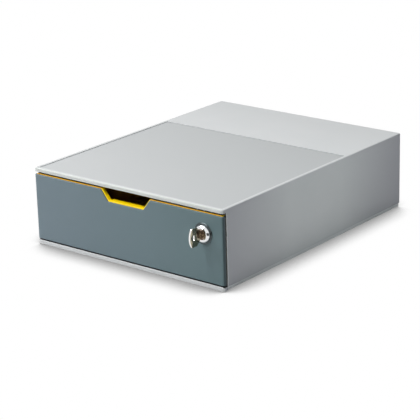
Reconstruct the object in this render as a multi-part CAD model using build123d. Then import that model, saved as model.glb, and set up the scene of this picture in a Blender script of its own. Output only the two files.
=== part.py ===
from build123d import *
import os
from math import cos, radians, sqrt

# Desktop file drawer for A4 papers: a moulded casing with one lockable drawer, and its key.
# Millimetres, +Z up, the drawer opens towards -Y, +X is to the right of someone who faces it.
# Every piece is drawn with Y measured from the front plane of the casing. The finished pieces are then
# moved together, so that the origin lies on the table under the middle of the whole object.

# ---------------------------------------------------------------- all pieces
NEAR = 0.01                # how close an edge or corner has to be to count as lying somewhere
BEYOND = 1.0               # how far a cutting solid runs past what it cuts
FIT = 0.05                 # radial running clearance of the lock's core
LOOSE = 0.1                # side clearance of parts that slide or seat by hand

# ---------------------------------------------------------------- casing: driving dimensions
WIDTH = 280.0
DEPTH = 356.0
HEIGHT = 95.0
WALL = 2.2
ROOF_SKIN = 2.2
CORNER_RADIUS = 3.0
EDGE_RADIUS = 1.5
FOOT_DROP = 0.8            # how far the feet stand out below the base
SEAM_Z = 5.6               # where the shell sits on the base, seen on the sides
LIP_BOTTOM_Z = 90.4        # lower edge of the front lip
SIDE_SET_BACK = 6.4        # the side walls start this far behind the lip and the base nose
FIELD_RIM = 4.5            # flat border left round the sunk field of the top
FIELD_END = 239.0          # where the field ends in a step up to the rear of the top
FIELD_DEPTH = 0.8
FIELD_EDGE_RADIUS = 0.3
INNER_EDGE_RADIUS = 0.7    # where the walls meet the roof inside
WALL_END_RADIUS = 0.9      # the side walls' front ends
LIP_EDGE_RADIUS = 0.5
CEILING_Z = HEIGHT - FIELD_DEPTH - ROOF_SKIN
INNER_HALF = WIDTH / 2 - WALL

# ---------------------------------------------------------------- casing: ribs under the roof
RIB = 1.6                  # thickness of a moulded rib
RIB_TIP_RADIUS = 0.3
RIB_ROOT = 0.8             # how far a rib is let into the roof
RIB_END_GAP = 1.0          # between a guide rib and the back wall
RIB_BOTTOM_Z = 88.7        # all roof ribs clear the tray's rim
GUIDE_X = 135.2            # the guide ribs keep the open drawer from tipping
GUIDE_START = 12.0
STOP_X = 75.0              # two stops that the tray's tongues meet at full travel
STOP_WIDTH = 26.0
STOP_WEB_LENGTH = 8.0      # webs that back up each stop
BACK_RIB_DEPTH = 5.2
BACK_RIB_X = 92.0
BACK_RIB_START_Z = 7.0

# ---------------------------------------------------------------- base plate
BASE_INSET = 0.8
BASE_TOP_Z = 6.0
BASE_SKIN = 2.2
BASE_SKIRT = 2.4
NOSE_EDGE_RADIUS = 1.0
RUNNER_HEIGHT = 1.0
RUNNER_WIDTH = 2.6
RUNNER_EDGE_RADIUS = 0.4
RUNNER_LENGTH = 324.0
RUNNER_X = (-122.0, -46.0, 46.0, 122.0)
GRID_X = (-105.0, -63.0, -21.0, 21.0, 63.0, 105.0)
GRID_Y = (60.0, 119.0, 178.0, 237.0, 296.0)
GRID_DROP = 1.6
SNAP_WIDTH = 14.0
SNAP_HEIGHT = 4.4
SNAP_THICKNESS = 1.5
SNAP_BARB = 0.7
SNAP_POCKET_MARGIN = 0.5   # room beside a tongue in its pocket
SNAP_Y = (62.0, 178.0, 294.0)
SNAP_X = (-60.0, 60.0)

# ---------------------------------------------------------------- feet
FOOT_RADIUS = 8.0
FOOT_THICKNESS = 2.2
FOOT_EDGE_RADIUS = 0.5
FOOT_BOSS = 3.0            # solid ring round a foot's seat
FOOT_X = WIDTH / 2 - 20.0
FOOT_FRONT_Y = 24.0
FOOT_REAR_Y = DEPTH - 20.0

# ---------------------------------------------------------------- drawer front
COVER_BOTTOM_Z = 7.2
COVER_TOP_Z = 87.0
COVER_THICKNESS = 2.0
COVER_RETURN = 4.8         # depth of the cover's side walls
COVER_EDGE_RADIUS = 3.0
COVER_FRONT_RADIUS = 1.0
NOTCH_TOP_WIDTH = 73.0
NOTCH_BOTTOM_WIDTH = 52.4
NOTCH_BOTTOM_Z = 73.5
NOTCH_RADIUS = 3.0
RIM_SHOWING = 1.1          # yellow rim that shows round the cover's edge
STAKE_X = (-126.0, -62.0, 62.0, 126.0)
STAKE_LOW_Z = 20.0
STAKE_HIGH_Z = 78.0
STAKE_RADIUS = 2.0
STAKE_HEAD_RADIUS = 3.2
STAKE_HEAD = 1.2
STAKE_HEAD_EDGE = 0.9

# ---------------------------------------------------------------- drawer tray
TRAY_WALL = 2.2
TRAY_FLOOR_Z = 7.2
TRAY_RIM_Z = COVER_TOP_Z + RIM_SHOWING
TRAY_BACK = 348.0
TRAY_HALF_BOTTOM = 131.5
TRAY_HALF_TOP = 133.6
TRAY_CORNER = 6.0
FRONT_HALF = 137.7         # half width of the plate behind the cover
FRONT_PLATE = 2.5
FRONT_RIM_DEPTH = 4.2
PLATE_BACK = COVER_THICKNESS + FRONT_PLATE
FRAME_END = COVER_THICKNESS + FRONT_RIM_DEPTH
RIM_THICKNESS = 1.4
RIM_EDGE_RADIUS = 0.3
SIDE_RIM_BACK = 4.6        # at the sides the rim stays hidden behind the cover's side walls
FLANGE_HALF = 136.7
FLANGE_THICKNESS = 1.6
LEDGE_DEPTH = 9.7          # finger ledge at the bottom of the notch
LEDGE_TURN_DOWN = 5.0
LEDGE_BEND_RADIUS = 1.7
GUSSET_Y = (40.0, 100.0, 160.0, 220.0, 280.0, 330.0)
GUSSET_THICKNESS = 1.4
GUSSET_NOSE = 3.0          # its height at the outer end
GUSSET_HEIGHT = 16.0       # its height at the wall
GUSSET_SET_BACK = 0.6      # behind the edge of the side rim
TONGUE_WIDTH = 18.0
TONGUE_TOP_Z = 91.2
TONGUE_ROOT = 4.0          # how far a tongue is let into the rear wall
TONGUE_CORNER = 2.0
TONGUE_SLOT = 1.6
TONGUE_SLOT_DEPTH = 26.0
TRAVEL = 250.0             # the drawer's full travel
STOP_GAP = 0.4

# ---------------------------------------------------------------- lock
LOCK_X = 112.5
LOCK_Z = 63.5
RING_RADIUS = 12.5
RING_THICKNESS = 1.2
RING_BEVEL = 0.7
DOME_RADIUS = 10.25
DOME_HEIGHT = 3.4
BARREL_RADIUS = 8.0
BARREL_FLATS = 14.0        # width across the two flats that stop the barrel turning
BARREL_END = 20.0
PLUG_RADIUS = 5.5
BORE_RADIUS = PLUG_RADIUS + FIT
GROOVE_START = 0.5         # the housing's grooves, which the wafers spring into
GROOVE_REACH = 6.9
PLUG_HEAD_RADIUS = 6.2
PLUG_HEAD = 1.6
PLUG_RECESS = 0.6
PLUG_HEAD_CHAMFER = 0.4
PLUG_END = 20.2
TAIL_SQUARE = 7.0
TAIL_LENGTH = 2.7
TAIL_ROOT = 1.0
WASHER_THICKNESS = 1.0
WASHER_OVERHANG = 0.8      # beyond the nut's flats
WASHER_TEETH = 14
TOOTH_GAP = (1.8, 1.4)     # radial depth and width of the cuts between teeth
NUT_ACROSS_FLATS = 20.0
NUT_THICKNESS = 4.0
NUT_BEVEL_SHARE = 0.6      # the corners' bevel, along the axis against across

CAM_Y = 21.0
CAM_THICKNESS = 2.0
CAM_REACH = 28.0
CAM_HUB_RADIUS = 8.5
CAM_ARM_HALF = 8.0         # half width of the arm where it leaves the hub
CAM_TIP_RADIUS = 3.3
CAM_TIP_WIDTH = 11.0
KEEPER_GAP = 0.4
KEEPER_THICKNESS = 2.4
KEEPER_WIDTH = 22.0
KEEPER_WEBS = (-9.6, 0.0, 9.6)
CAM_WASHER_RADIUS = 5.8
CAM_WASHER_THICKNESS = 0.8
SCREW_SHANK_RADIUS = 2.0
SCREW_HEAD_RADIUS = 4.4
SCREW_HEAD = 2.6
SCREW_HEAD_EDGE = 1.2
SCREW_DEPTH = 6.6          # the threaded hole, from the cam's rear face
SCREW_END_GAP = 1.0        # between the screw's end and the hole's
RECESS_WIDTH = 1.0         # arms of the cross recess
RECESS_LENGTH = 4.8

WAFERS = 5
WAFER_FIRST_Y = 1.6
WAFER_PITCH = 2.6
WAFER_THICKNESS = 1.0
WAFER_WIDTH = 6.5
WINDOW_PLAY = 0.25         # room round the blade in a wafer's window

# ---------------------------------------------------------------- key
KEY_REACH = 24.0           # the bow's outer edge, ahead of the front plane
KEY_THICKNESS = 2.0
BLADE_HEIGHT = 7.0
BLADE_TIP_Y = 15.2
KEYWAY_END = 16.0
SHOULDER_HEIGHT = 9.4
BOW_HEIGHT = 21.4
BOW_ROOT_Y = -12.4
BOW_BULGE = 3.4
BOW_NECK_RADIUS = 3.2
KEY_SLOT_Y = -17.8
KEY_SLOT_LENGTH = 6.0
KEY_SLOT_WIDTH = 3.0
KEY_CUTS = (0.9, 0.4, 1.1, 0.6, 0.9)
BOW_CORNER_RADIUS = 1.2
TIP_BEVEL = 2.8            # length of the bevels at the blade's tip
TIP_HEIGHT = 2.1
CUT_MARGIN = 0.2           # how far a cut's outline stands off the blade's edge

# Moves every piece from the front plane to the origin under the middle of the object.
TO_ORIGIN = Pos(0, -(DEPTH - KEY_REACH) / 2, 0)
LOCK_AXIS = Pos(LOCK_X, 0, LOCK_Z)


def block(x0, x1, y0, y1, z0, z1):
    """A box between two opposite corners."""
    corner = (Align.MIN, Align.MIN, Align.MIN)
    return Pos(x0, y0, z0) * Box(x1 - x0, y1 - y0, z1 - z0, align=corner)


def front_plane(y):
    """A sketch plane that faces the front at depth y: its X is +X, its Y is +Z, its normal is -Y."""
    return Plane(origin=(0, y, 0), x_dir=(1, 0, 0), z_dir=(0, -1, 0))


def backwards(sketch, y0, y1):
    """A sketch drawn in X and Z, extruded from depth y0 back to y1."""
    return extrude(front_plane(y1) * sketch, y1 - y0)


def plan_slab(half_width, y0, y1, z0, z1, radius):
    """A slab with rounded plan corners."""
    outline = Pos(0, (y0 + y1) / 2, z0) * RectangleRounded(2 * half_width, y1 - y0, radius)
    return extrude(outline, z1 - z0)


def barrel(radius, y0, y1):
    """A cylinder along Y about the lock's axis."""
    return LOCK_AXIS * Pos(0, y0, 0) * Rot(-90, 0, 0) * Cylinder(
        radius, y1 - y0, align=(Align.CENTER, Align.CENTER, Align.MIN))


# ---------------------------------------------------------------- casing shell
def casing_shell():
    outer = plan_slab(WIDTH / 2, 0, DEPTH, SEAM_Z, HEIGHT, CORNER_RADIUS)
    outer = fillet(outer.edges().group_by(Axis.Z)[-1], EDGE_RADIUS)
    cavity = plan_slab(INNER_HALF, WALL, DEPTH - WALL, SEAM_Z, CEILING_Z, CORNER_RADIUS - WALL)
    cavity = fillet(cavity.edges().group_by(Axis.Z)[-1], INNER_EDGE_RADIUS)
    mouth = block(-WIDTH, WIDTH, -BEYOND, SIDE_SET_BACK, SEAM_Z - BEYOND, LIP_BOTTOM_Z)
    shell = outer - cavity - mouth

    wall_edges = [e for e in shell.edges().filter_by(Axis.Z)
                  if abs(e.center().Y - SIDE_SET_BACK) < NEAR]
    shell = fillet(wall_edges, WALL_END_RADIUS)
    lip_edges = [e for e in shell.edges().filter_by(Axis.X)
                 if abs(e.center().Z - LIP_BOTTOM_Z) < NEAR and e.center().Y < WALL + NEAR]
    shell = fillet(lip_edges, LIP_EDGE_RADIUS)

    field = plan_slab(WIDTH / 2 - FIELD_RIM, FIELD_RIM, FIELD_END,
                      HEIGHT - FIELD_DEPTH, HEIGHT + BEYOND, EDGE_RADIUS)
    shell -= field
    field_edges = [e for e in shell.edges()
                   if abs(e.center().Z - HEIGHT) < NEAR
                   and FIELD_RIM - NEAR < e.center().Y < FIELD_END + NEAR
                   and abs(e.center().X) < WIDTH / 2 - FIELD_RIM + NEAR]
    shell = fillet(field_edges, FIELD_EDGE_RADIUS)
    return shell + roof_ribs() + back_ribs() - snap_pockets()


def hanging_rib(x0, x1, y0, y1):
    """A rib that hangs from the ceiling, let into it a little so that the two are one piece."""
    rib = block(x0, x1, y0, y1, RIB_BOTTOM_Z, CEILING_Z)
    rib = fillet(rib.edges().group_by(Axis.Z)[0], RIB_TIP_RADIUS)
    return rib + block(x0, x1, y0, y1, CEILING_Z - RIB_ROOT, CEILING_Z + RIB_ROOT)


def rib_across(x, width, y0, y1):
    """A hanging rib that is width wide in X, about x."""
    return hanging_rib(x - width / 2, x + width / 2, y0, y1)


def roof_ribs():
    """Guide ribs along both sides, two stops for the drawer, and the keeper for the lock's cam."""
    stop_back = TRAY_BACK - TRAY_WALL - TRAVEL - STOP_GAP
    stop_front = stop_back - RIB
    ribs = []
    for side in (-1, 1):
        ribs.append(rib_across(side * GUIDE_X, RIB, GUIDE_START, DEPTH - WALL - RIB_END_GAP))
        ribs.append(rib_across(side * STOP_X, STOP_WIDTH, stop_front, stop_back))
        for end in (-1, 1):
            web_x = side * STOP_X + end * (STOP_WIDTH / 2 - RIB)
            ribs.append(rib_across(web_x, RIB, stop_back - STOP_WEB_LENGTH, stop_front + RIB / 2))
    keeper_back = CAM_Y - KEEPER_GAP
    keeper_front = keeper_back - KEEPER_THICKNESS
    ribs.append(rib_across(LOCK_X, KEEPER_WIDTH, keeper_front, keeper_back))
    ribs += [rib_across(LOCK_X + x, RIB, WALL, keeper_front + RIB / 2) for x in KEEPER_WEBS]
    return ribs


def back_ribs():
    """Upright ribs inside the back wall, which the closed tray comes up against."""
    front = DEPTH - WALL - BACK_RIB_DEPTH
    back = DEPTH - WALL / 2
    top_z = CEILING_Z + RIB_ROOT
    return [block(x - RIB / 2, x + RIB / 2, front, back, BACK_RIB_START_Z, top_z)
            for x in (-BACK_RIB_X, BACK_RIB_X)]


def snap_places():
    """Where the base's snap tongues stand: the middle of each tongue's outer face, and its turn about Z."""
    face = INNER_HALF - LOOSE
    places = [Pos(side * face, y, 0) * Rot(0, 0, turn) for y in SNAP_Y for side, turn in ((1, 0), (-1, 180))]
    return places + [Pos(x, DEPTH - WALL - LOOSE, 0) * Rot(0, 0, 90) for x in SNAP_X]


def snap_pockets():
    """Shallow pockets inside the walls, one for each tongue's barb."""
    barb_z = BASE_TOP_Z + SNAP_HEIGHT - 2 * SNAP_BARB
    half = SNAP_WIDTH / 2 + SNAP_POCKET_MARGIN
    rise = 2 * SNAP_BARB
    pocket = block(-BEYOND, SNAP_BARB + 2 * LOOSE, -half, half, barb_z - rise, barb_z + rise)
    return [place * pocket for place in snap_places()]


# ---------------------------------------------------------------- base plate
def base_plate():
    bottom_z = FOOT_DROP
    half = WIDTH / 2 - BASE_INSET
    pan = plan_slab(half, BASE_INSET, DEPTH - BASE_INSET, bottom_z, SEAM_Z, CORNER_RADIUS)
    raised = plan_slab(INNER_HALF - LOOSE, BASE_INSET + WALL, DEPTH - WALL - LOOSE, bottom_z, BASE_TOP_Z,
                       CORNER_RADIUS - WALL)
    nose = plan_slab(WIDTH / 2, 0, 2 * SIDE_SET_BACK, bottom_z, BASE_TOP_Z, CORNER_RADIUS)
    nose = fillet(nose.edges().group_by(Axis.Z)[-1] + nose.edges().group_by(Axis.Z)[0], NOSE_EDGE_RADIUS)
    nose &= block(-WIDTH, WIDTH, -BEYOND, SIDE_SET_BACK - LOOSE, 0, HEIGHT)
    pan = chamfer(pan.edges().group_by(Axis.Z)[0], BASE_INSET)
    plate = pan + raised + nose

    hollow = plan_slab(half - BASE_SKIRT, BASE_INSET + BASE_SKIRT, DEPTH - BASE_INSET - BASE_SKIRT,
                       0, BASE_TOP_Z - BASE_SKIN, CORNER_RADIUS)
    hollow -= [block(x - RIB / 2, x + RIB / 2, 0, DEPTH, GRID_DROP, HEIGHT) for x in GRID_X]
    hollow -= [block(-WIDTH, WIDTH, y - RIB / 2, y + RIB / 2, GRID_DROP, HEIGHT) for y in GRID_Y]
    hollow -= [Pos(x, y, 0) * Cylinder(FOOT_RADIUS + FOOT_BOSS, 2 * HEIGHT) for x, y in foot_places()]
    plate -= hollow
    seat = Pos(0, 0, FOOT_THICKNESS / 2) * Cylinder(FOOT_RADIUS + LOOSE, FOOT_THICKNESS)
    plate -= [Pos(x, y, 0) * seat for x, y in foot_places()]
    return plate + runners() + [place * snap_tongue() for place in snap_places()]


def runners():
    """Low rounded rails that the tray slides on."""
    rail = extrude(SlotOverall(RUNNER_LENGTH, RUNNER_WIDTH, rotation=90), 2 * RUNNER_HEIGHT)
    rail = Pos(0, DEPTH / 2, BASE_TOP_Z - RUNNER_HEIGHT) * rail
    rail = fillet(rail.edges().group_by(Axis.Z)[-1], RUNNER_EDGE_RADIUS)
    return [Pos(x, 0, 0) * rail for x in RUNNER_X]


def snap_tongue():
    """A tongue that stands on the base along Y, its barb towards +X."""
    root = BASE_TOP_Z - BASE_SKIN / 2
    top = BASE_TOP_Z + SNAP_HEIGHT
    barb_z = top - 2 * SNAP_BARB
    points = [(-SNAP_THICKNESS, root), (-SNAP_THICKNESS, top), (-SNAP_BARB, top),
              (SNAP_BARB, barb_z), (0, barb_z - SNAP_BARB), (0, root)]
    profile = make_face(Polyline(*points, close=True))
    return backwards(profile, -SNAP_WIDTH / 2, SNAP_WIDTH / 2)


def foot_places():
    return [(side * FOOT_X, y) for y in (FOOT_FRONT_Y, FOOT_REAR_Y) for side in (-1, 1)]


def rubber_foot(x, y):
    """A soft disc, let into its seat in the base."""
    disc = Cylinder(FOOT_RADIUS, FOOT_THICKNESS, align=(Align.CENTER, Align.CENTER, Align.MIN))
    disc = fillet(disc.edges().group_by(Axis.Z)[0], FOOT_EDGE_RADIUS)
    return Pos(x, y, 0) * disc


# ---------------------------------------------------------------- drawer front cover
def notched_plate(half_width, bottom_z, clear):
    """A front plate in X and Z with the finger notch let into its top edge, the notch's corners rounded.

    clear lifts the top edge above the cover's, and moves the notch's sides and bottom in by as much.
    """
    top_z = COVER_TOP_Z + clear
    notch_z = NOTCH_BOTTOM_Z + clear
    slant = (NOTCH_TOP_WIDTH - NOTCH_BOTTOM_WIDTH) / 2 / (COVER_TOP_Z - NOTCH_BOTTOM_Z)
    shift = clear * (sqrt(1 + slant * slant) - slant)
    notch_half = NOTCH_BOTTOM_WIDTH / 2 - shift
    mouth_half = NOTCH_TOP_WIDTH / 2 - shift
    right = [(notch_half, notch_z), (mouth_half, top_z), (half_width, top_z), (half_width, bottom_z)]
    left = [(-x, z) for x, z in reversed(right)]
    plate = make_face(Polyline(*right, *left, close=True))
    return fillet([v for v in plate.vertices() if abs(v.X) < mouth_half + NEAR], NOTCH_RADIUS)


def lock_hole(clearance):
    """The round hole with two flats that the lock's barrel goes through, in X and Z."""
    hole = Circle(BARREL_RADIUS + clearance) & Rectangle(BARREL_FLATS + 2 * clearance, 4 * BARREL_RADIUS)
    return Pos(LOCK_X, LOCK_Z) * hole


def stake_places():
    return [(x, z) for x in STAKE_X for z in (STAKE_LOW_Z, STAKE_HIGH_Z)]


def front_cover():
    """The cap on the drawer's front: a thin wall with rounded edges and short side walls."""
    cap = plan_slab(WIDTH / 2, 0, 2 * COVER_RETURN, COVER_BOTTOM_Z, COVER_TOP_Z, COVER_EDGE_RADIUS)
    cap &= block(-WIDTH, WIDTH, -BEYOND, COVER_RETURN, 0, HEIGHT)
    cap &= backwards(notched_plate(WIDTH, COVER_BOTTOM_Z, 0), -BEYOND, COVER_RETURN + BEYOND)
    bend = WIDTH / 2 - COVER_EDGE_RADIUS
    outline = [e for e in cap.edges() if e.center().Y < COVER_RETURN - NEAR
               and (e.center().Y < NEAR or abs(e.center().X) > bend)]
    cap = fillet([e for e in outline if e not in cap.edges().filter_by(Axis.Z)], COVER_FRONT_RADIUS)
    half = WIDTH / 2 - COVER_THICKNESS
    cap -= block(-half, half, COVER_THICKNESS, COVER_RETURN + BEYOND, 0, HEIGHT)
    cap -= backwards(lock_hole(LOOSE), -BEYOND, COVER_RETURN)
    return cap + [Pos(x, COVER_THICKNESS / 2, z) * heat_stake() for x, z in stake_places()]


def heat_stake():
    """A peg along Y that goes through the tray's front plate, its end melted to a rounded head."""
    base = (Align.CENTER, Align.CENTER, Align.MIN)
    length = PLATE_BACK - COVER_THICKNESS / 2
    shank = Cylinder(STAKE_RADIUS, length + STAKE_HEAD / 2, align=base)
    head = Pos(0, 0, length) * Cylinder(STAKE_HEAD_RADIUS, STAKE_HEAD, align=base)
    head = fillet(head.edges().group_by(Axis.Z)[-1], STAKE_HEAD_EDGE)
    return Rot(-90, 0, 0) * (shank + head)


# ---------------------------------------------------------------- drawer tray
def drawer_tray():
    """The box behind the front frame, open at the top, with side rims and stop tongues."""
    return tray_box() & block(-WIDTH, WIDTH, FRAME_END, DEPTH, 0, HEIGHT)


def tray_front():
    """The front frame: a notched plate with a rim, a collar that meets the box, and the finger ledge."""
    collar = tray_box() & block(-WIDTH, WIDTH, 0, FRAME_END, 0, HEIGHT)
    frame = rimmed_plate() + collar + finger_ledge()
    frame -= backwards(lock_hole(LOOSE), 0, FRAME_END)
    frame -= [Pos(x, 0, z) * Rot(-90, 0, 0) * Cylinder(STAKE_RADIUS + LOOSE, 2 * FRAME_END)
              for x, z in stake_places()]
    return frame


def rimmed_plate():
    """The notched plate behind the cover, with a rim that is deeper at the top, at the notch and below."""
    outline = notched_plate(FRONT_HALF, TRAY_FLOOR_Z, RIM_SHOWING)
    corners = [v for v in outline.vertices() if abs(v.X) > FRONT_HALF - NEAR]
    outline = fillet(corners, EDGE_RADIUS)
    rim = backwards(outline - offset(outline, -RIM_THICKNESS), COVER_THICKNESS, FRAME_END)
    for side in (-1, 1):
        inner, outer = sorted((side * (FRONT_HALF - RIM_THICKNESS - LOOSE), side * WIDTH))
        rim -= block(inner, outer, SIDE_RIM_BACK, FRAME_END + BEYOND, 0, HEIGHT)
    plate = backwards(outline, COVER_THICKNESS, PLATE_BACK) + rim
    return fillet(plate.faces().sort_by(Axis.Y)[0].outer_wire().edges(), RIM_EDGE_RADIUS)


def tray_section(wall, top_z):
    """The box's cross section in X and Z up to top_z, wall inside its outer face, with drafted sides."""
    half_top = TRAY_HALF_TOP - wall
    half_bottom = TRAY_HALF_BOTTOM - wall
    floor_z = TRAY_FLOOR_Z + wall
    corners = [(-half_bottom, floor_z), (half_bottom, floor_z), (half_top, top_z), (-half_top, top_z)]
    section = make_face(Polyline(*corners, close=True))
    return fillet(section.vertices().group_by(Axis.Y)[0], TRAY_CORNER - wall)


def tray_box():
    """Floor, side walls and rear wall, from inside the front plate on, with a rim along both sides."""
    front_y = PLATE_BACK - FRONT_PLATE / 2
    solid = backwards(tray_section(0, TRAY_RIM_Z), front_y, TRAY_BACK)
    box = solid - backwards(tray_section(TRAY_WALL, TRAY_RIM_Z + BEYOND), 0, TRAY_BACK - TRAY_WALL)

    flange_z = TRAY_RIM_Z - FLANGE_THICKNESS
    flange = plan_slab(FLANGE_HALF, front_y - TRAY_CORNER, TRAY_BACK, flange_z, TRAY_RIM_Z, TRAY_CORNER)
    flange &= block(-WIDTH, WIDTH, front_y, DEPTH, 0, HEIGHT)
    flange -= plan_slab(TRAY_HALF_TOP - TRAY_WALL, 0, TRAY_BACK - TRAY_WALL, 0, HEIGHT, TRAY_WALL)
    box += flange
    box += [gusset(side, y) for side in (-1, 1) for y in GUSSET_Y]
    return box + stop_tongues() - tongue_slots()


def gusset(side, y):
    """A small web under the side rim."""
    top_z = TRAY_RIM_Z - FLANGE_THICKNESS / 2
    inner = side * (TRAY_HALF_TOP - TRAY_WALL / 2)
    outer = side * (FLANGE_HALF - GUSSET_SET_BACK)
    points = [(inner, top_z), (outer, top_z), (outer, top_z - GUSSET_NOSE), (inner, top_z - GUSSET_HEIGHT)]
    half = GUSSET_THICKNESS / 2
    return backwards(make_face(Polyline(*points, close=True)), y - half, y + half)


def stop_tongues():
    """Springy tongues on the rear wall, which stand above the rim and meet the stops under the roof."""
    root_z = TRAY_RIM_Z - TONGUE_ROOT
    tongue = Pos(0, (TONGUE_TOP_Z + root_z) / 2) * Rectangle(TONGUE_WIDTH, TONGUE_TOP_Z - root_z)
    tongue = fillet(tongue.vertices().group_by(Axis.Y)[-1], TONGUE_CORNER)
    tongue = backwards(tongue, TRAY_BACK - TRAY_WALL, TRAY_BACK)
    return [Pos(side * STOP_X, 0, 0) * tongue for side in (-1, 1)]


def tongue_slots():
    """The slots on both sides of each tongue that let it bend when the drawer is put in."""
    low_z = TRAY_RIM_Z - TONGUE_SLOT_DEPTH
    slot = Pos(0, TRAY_RIM_Z - TONGUE_SLOT_DEPTH / 2) * SlotOverall(
        2 * TONGUE_SLOT_DEPTH, TONGUE_SLOT, rotation=90)
    slot = backwards(slot, TRAY_BACK - 2 * TRAY_WALL, TRAY_BACK + BEYOND)
    slot &= block(-WIDTH, WIDTH, 0, DEPTH, low_z, TRAY_RIM_Z + BEYOND)
    offset_x = (TONGUE_WIDTH + TONGUE_SLOT) / 2
    return [Pos(side * STOP_X + end * offset_x, 0, 0) * slot for side in (-1, 1) for end in (-1, 1)]


def finger_ledge():
    """The shelf behind the bottom of the notch, turned down at its back edge for the fingertips."""
    top_z = NOTCH_BOTTOM_Z + RIM_SHOWING
    start = PLATE_BACK - FRONT_PLATE / 2
    end = COVER_THICKNESS + LEDGE_DEPTH
    thickness = RIM_THICKNESS
    points = [(start, top_z), (end, top_z), (end, top_z - LEDGE_TURN_DOWN),
              (end - thickness, top_z - LEDGE_TURN_DOWN), (end - thickness, top_z - thickness),
              (start, top_z - thickness)]
    profile = make_face(Plane.YZ * Polyline(*points, close=True))
    half = NOTCH_BOTTOM_WIDTH / 2 - RIM_SHOWING
    ledge = extrude(profile, half, both=True)
    bend = [e for e in ledge.edges().filter_by(Axis.X)
            if abs(e.center().Y - end) < NEAR and abs(e.center().Z - top_z) < NEAR]
    return fillet(bend, LEDGE_BEND_RADIUS)


# ---------------------------------------------------------------- lock
def turned(points_and_arcs):
    """A solid turned about the lock's axis, from a profile in radius and distance ahead of the front."""
    return LOCK_AXIS * Rot(0, 0, 180) * revolve(make_face(points_and_arcs), Axis.Y)


def lock_trim_ring():
    """The flat ring with a bevelled edge that the domed head sits on."""
    side = Polyline((0, 0), (RING_RADIUS, 0), (RING_RADIUS, RING_THICKNESS - RING_BEVEL),
                    (RING_RADIUS - RING_BEVEL, RING_THICKNESS), (0, RING_THICKNESS), close=True)
    return turned(side) - barrel(BARREL_RADIUS + LOOSE, -RING_THICKNESS - BEYOND, BEYOND)


def lock_housing():
    """Die-cast body: a domed head, a flatted barrel, and a bore with one groove above and one below."""
    top = RING_THICKNESS + DOME_HEIGHT
    crown = DOME_RADIUS - DOME_HEIGHT
    arc = RadiusArc((DOME_RADIUS, RING_THICKNESS), (crown, top), -DOME_HEIGHT)
    head = turned(Polyline((0, top), (0, RING_THICKNESS), (DOME_RADIUS, RING_THICKNESS)) + arc
                  + Line((crown, top), (0, top)))
    shank = backwards(lock_hole(0), -RING_THICKNESS, BARREL_END)
    body = head + shank
    body -= barrel(BORE_RADIUS, -top - BEYOND, BARREL_END + BEYOND)
    body -= barrel(PLUG_HEAD_RADIUS + FIT, -top - BEYOND, -top + PLUG_RECESS + PLUG_HEAD + FIT)
    groove_half = WAFER_WIDTH / 2 + LOOSE
    groove_end = WAFER_FIRST_Y + WAFERS * WAFER_PITCH
    groove = block(-groove_half, groove_half, GROOVE_START, groove_end, -GROOVE_REACH, GROOVE_REACH)
    return body - LOCK_AXIS * groove


def lock_tooth_washer():
    """A ring whose outer edge is cut into teeth."""
    outer = NUT_ACROSS_FLATS / 2 + WASHER_OVERHANG
    ring = Circle(outer) - Circle(BARREL_RADIUS + LOOSE)
    ring -= PolarLocations(outer, WASHER_TEETH) * Rectangle(*TOOTH_GAP)
    return backwards(Pos(LOCK_X, LOCK_Z) * ring, PLATE_BACK, PLATE_BACK + WASHER_THICKNESS)


def lock_nut():
    """The hexagon nut that clamps cover and tray together, its corners bevelled."""
    start = PLATE_BACK + WASHER_THICKNESS
    hexagon = RegularPolygon(NUT_ACROSS_FLATS / 2, 6, major_radius=False)
    nut = backwards(Pos(LOCK_X, LOCK_Z) * hexagon, start, start + NUT_THICKNESS)
    corner = NUT_ACROSS_FLATS / 2 / cos(radians(30))
    bevel = corner - NUT_ACROSS_FLATS / 2
    rounded = barrel(corner, start, start + NUT_THICKNESS)
    rounded = chamfer(rounded.edges().filter_by(GeomType.CIRCLE), bevel * NUT_BEVEL_SHARE, bevel)
    return (nut & rounded) - barrel(BARREL_RADIUS + FIT, start - BEYOND, start + NUT_THICKNESS + BEYOND)


def wafer_places():
    return [WAFER_FIRST_Y + i * WAFER_PITCH for i in range(WAFERS)]


def lock_plug():
    """The turning core: head, keyway, five cross slots for the wafers, and a square tail for the cam."""
    face = -(RING_THICKNESS + DOME_HEIGHT - PLUG_RECESS)
    tail_end = PLUG_END + TAIL_LENGTH
    plug = barrel(PLUG_RADIUS, face, PLUG_END) + barrel(PLUG_HEAD_RADIUS, face, face + PLUG_HEAD)
    front_edge = [e for e in plug.edges().filter_by(GeomType.CIRCLE) if abs(e.center().Y - face) < NEAR]
    plug = chamfer(front_edge, PLUG_HEAD_CHAMFER)
    tail = Pos(LOCK_X, LOCK_Z) * Rectangle(TAIL_SQUARE, TAIL_SQUARE)
    plug += backwards(tail, PLUG_END - TAIL_ROOT, tail_end)

    key_half = KEY_THICKNESS / 2 + LOOSE
    way = BLADE_HEIGHT / 2 + LOOSE
    plug -= LOCK_AXIS * block(-key_half, key_half, face - BEYOND, KEYWAY_END, -way, way)
    slot_half = WAFER_WIDTH / 2 + LOOSE
    slot_thick = WAFER_THICKNESS / 2 + LOOSE
    slot = LOCK_AXIS * block(-slot_half, slot_half, -slot_thick, slot_thick, -BARREL_RADIUS, BARREL_RADIUS)
    plug -= [Pos(0, y, 0) * slot for y in wafer_places()]
    hole_end = CAM_Y + CAM_THICKNESS - SCREW_DEPTH
    return plug - barrel(SCREW_SHANK_RADIUS + LOOSE, hole_end, tail_end + BEYOND)


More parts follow.
